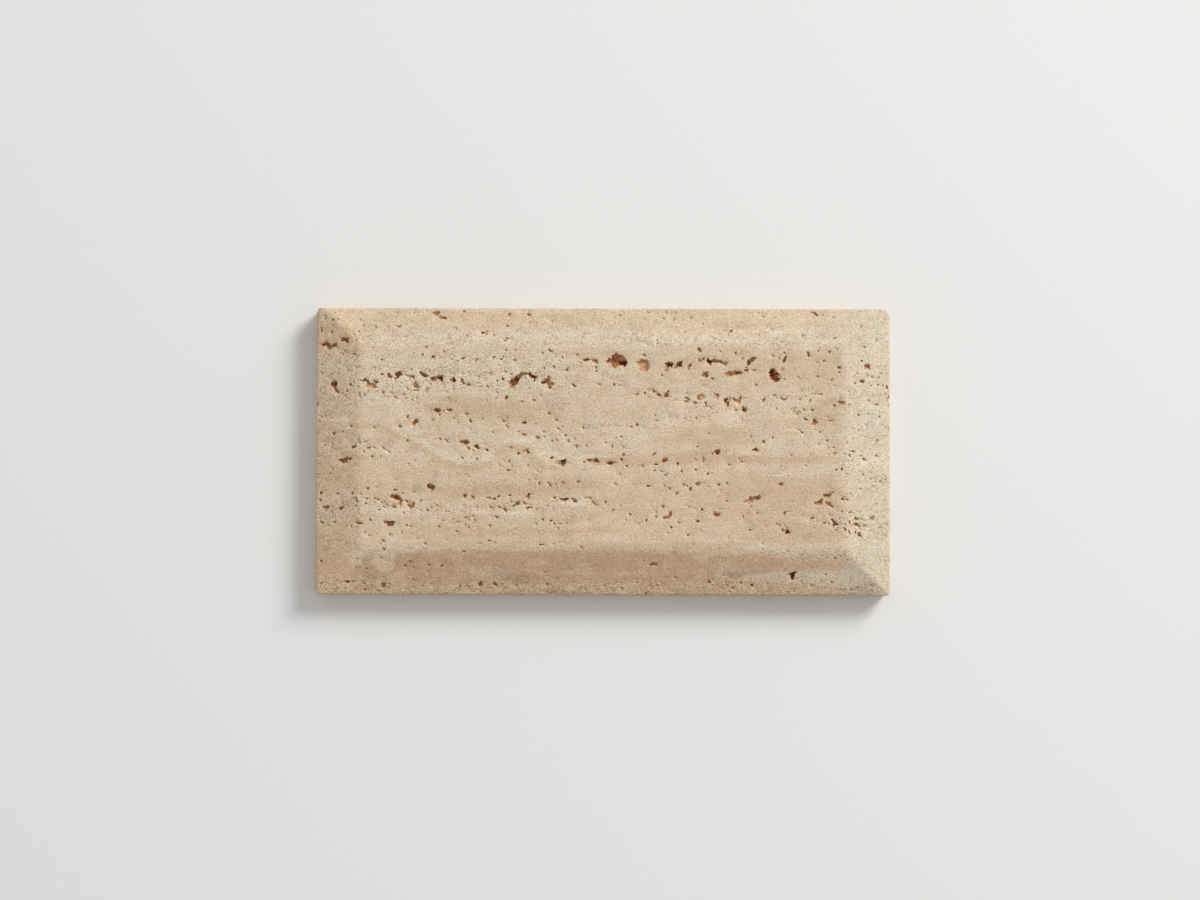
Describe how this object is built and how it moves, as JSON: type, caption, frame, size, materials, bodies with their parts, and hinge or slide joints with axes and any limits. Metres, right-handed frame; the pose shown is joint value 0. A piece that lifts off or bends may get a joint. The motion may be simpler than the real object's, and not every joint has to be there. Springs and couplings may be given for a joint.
{
  "type": "subway wall tile",
  "caption": "Rectangular natural stone wall tile, two to one in plan, with a flat ground face, four bevels that meet in mitres, open natural voids and a sawn back.",
  "frame": {"origin": "centre of the sawn back, which lies on the wall or on the floor", "axes": "+X along the length and the beds of the stone, +Y across the tile towards its narrow top bevel, +Z out of the ground face"},
  "size_m": [0.1524, 0.0762, 0.01],
  "materials": {
    "travertine": "honed matt travertine, unfilled"
  },
  "bodies": {
    "root": {"travertine_tile": "travertine"}
  },
  "joints": []
}
